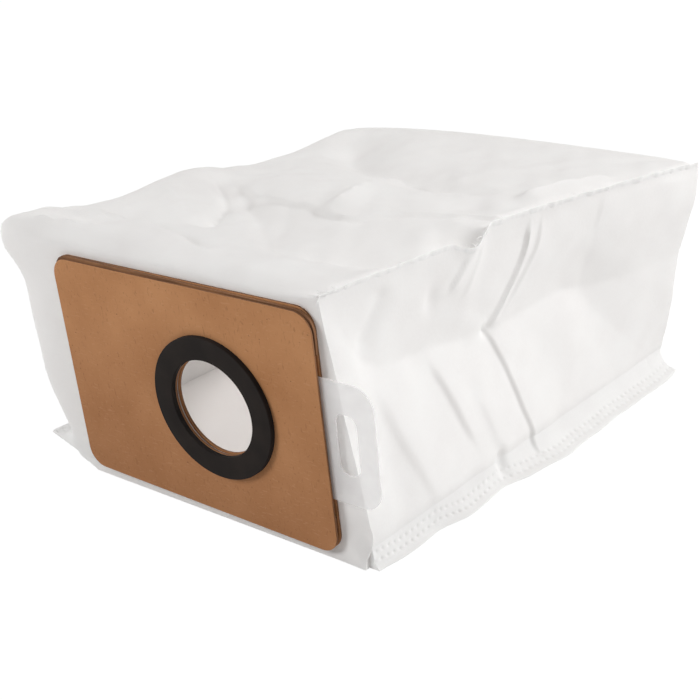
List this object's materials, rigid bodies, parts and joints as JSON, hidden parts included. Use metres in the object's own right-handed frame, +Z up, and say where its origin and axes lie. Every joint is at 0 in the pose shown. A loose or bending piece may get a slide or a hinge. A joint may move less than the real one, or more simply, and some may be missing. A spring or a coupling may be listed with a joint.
{
  "type": "vacuum dust bag",
  "caption": "Soft white non-woven dust bag behind a stiff card collar with a sealed round port, closed by a sliding plastic shutter with a pull tab.",
  "frame": {"origin": "under the middle of the whole part, on the surface that it stands on", "axes": "+X to the pull tab, which is to the right as the port is looked at; +Y from the collar back into the bag; +Z up"},
  "size_m": [0.1996, 0.1796, 0.0961],
  "materials": {
    "kraft_board": "matt kraft board with fine fibres",
    "board_core": "raw brown card",
    "seal_rubber": "matt black rubber",
    "frosted_film": "frosted translucent sheet",
    "white_cloth": "soft white non-woven cloth with creases from packing"
  },
  "bodies": {
    "bag": {"front_board": "kraft_board", "track_spacer": "board_core", "back_board": "kraft_board", "seal_ring": "seal_rubber", "cloth_bag": "white_cloth"},
    "shutter": {"shutter": "frosted_film"}
  },
  "joints": [
    {"name": "shutter_slide", "type": "slide", "parent": "bag", "child": "shutter", "axis": [1, 0, 0], "range_m": [0, 0.04]}
  ]
}
